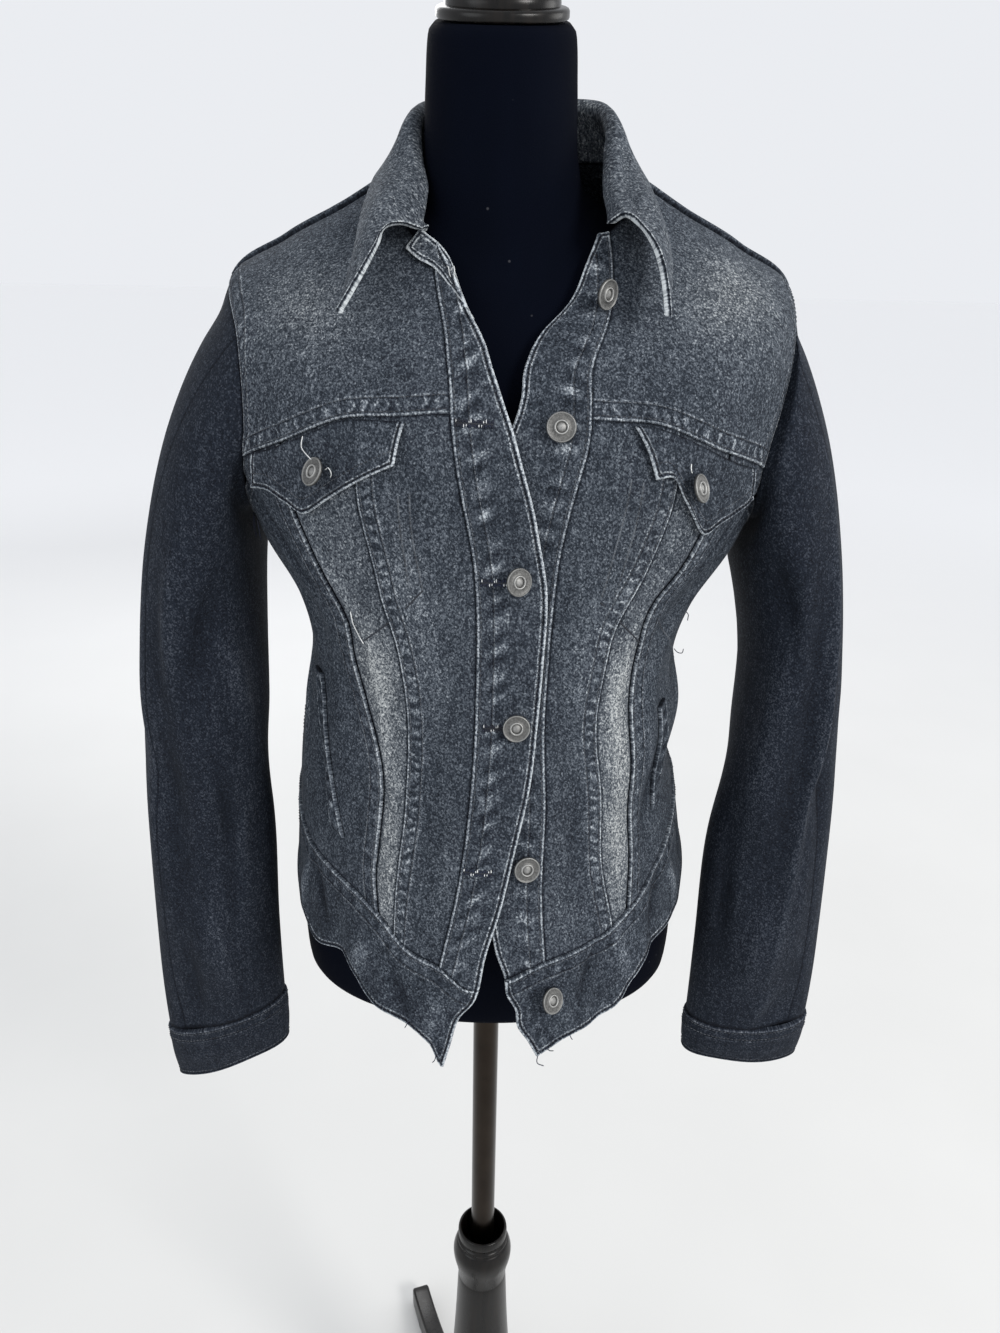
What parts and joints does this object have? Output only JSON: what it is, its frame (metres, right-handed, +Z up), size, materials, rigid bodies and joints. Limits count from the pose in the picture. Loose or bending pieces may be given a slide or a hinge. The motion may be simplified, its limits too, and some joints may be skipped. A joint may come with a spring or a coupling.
{
  "type": "denim jacket on a dress form",
  "caption": "Waist-length denim jacket hanging open on a limbless dress form, whose pole slides and turns in a turned wooden tripod stand.",
  "frame": {"origin": "on the floor, under the middle of the whole object's bounding box", "axes": "+Z up; the jacket faces -Y; +X is the wearer's left"},
  "size_m": [0.5254, 0.4665, 1.4985],
  "materials": {
    "washed_black_denim": "washed, matt",
    "dark_sleeve_denim": "washed, matt, darker",
    "black_velvet": "velvet, matt",
    "aged_button_metal": "aged, satin",
    "bronze_pole_metal": "bronze lacquer, glossy",
    "black_lacquered_wood": "lacquered, glossy"
  },
  "bodies": {
    "stand": {"stem": "black_lacquered_wood", "leg_1": "black_lacquered_wood", "leg_2": "black_lacquered_wood", "leg_3": "black_lacquered_wood"},
    "mast": {"pole": "bronze_pole_metal"},
    "dressed_form": {"front_yoke_r": "washed_black_denim", "front_yoke_l": "washed_black_denim", "placket_r": "washed_black_denim", "placket_l": "washed_black_denim", "front_centre_r": "washed_black_denim", "front_centre_l": "washed_black_denim", "front_wedge_r": "washed_black_denim", "front_wedge_l": "washed_black_denim", "front_side_r": "washed_black_denim", "front_side_l": "washed_black_denim", "pocket_flap_r": "washed_black_denim", "pocket_flap_l": "washed_black_denim", "pocket_welt_r": "washed_black_denim", "pocket_welt_l": "washed_black_denim", "back_yoke": "washed_black_denim", "back_centre": "washed_black_denim", "back_side_r": "washed_black_denim", "back_side_l": "washed_black_denim", "waistband_front_r": "washed_black_denim", "waistband_back": "washed_black_denim", "waistband_front_l": "washed_black_denim", "collar": "washed_black_denim", "sleeve_outer_r": "dark_sleeve_denim", "sleeve_outer_l": "dark_sleeve_denim", "sleeve_inner_r": "dark_sleeve_denim", "sleeve_inner_l": "dark_sleeve_denim", "cuff_r": "dark_sleeve_denim", "cuff_l": "dark_sleeve_denim", "form_body": "black_velvet", "front_button_1": "aged_button_metal", "front_button_2": "aged_button_metal", "front_button_3": "aged_button_metal", "front_button_4": "aged_button_metal", "front_button_5": "aged_button_metal", "front_button_6": "aged_button_metal", "pocket_button_r": "aged_button_metal", "pocket_button_l": "aged_button_metal", "cuff_button_r": "aged_button_metal", "cuff_button_l": "aged_button_metal", "pole_flange": "bronze_pole_metal", "neck_cap": "black_lacquered_wood"}
  },
  "joints": [
    {"name": "form_height", "type": "slide", "parent": "stand", "child": "mast", "axis": [0, 0, 1], "range_m": [-0.12, 0.1]},
    {"name": "form_turn", "type": "hinge", "parent": "mast", "child": "dressed_form", "pos_m": [0, -0.028, 0.79], "axis": [0, 0, 1], "continuous": true}
  ]
}
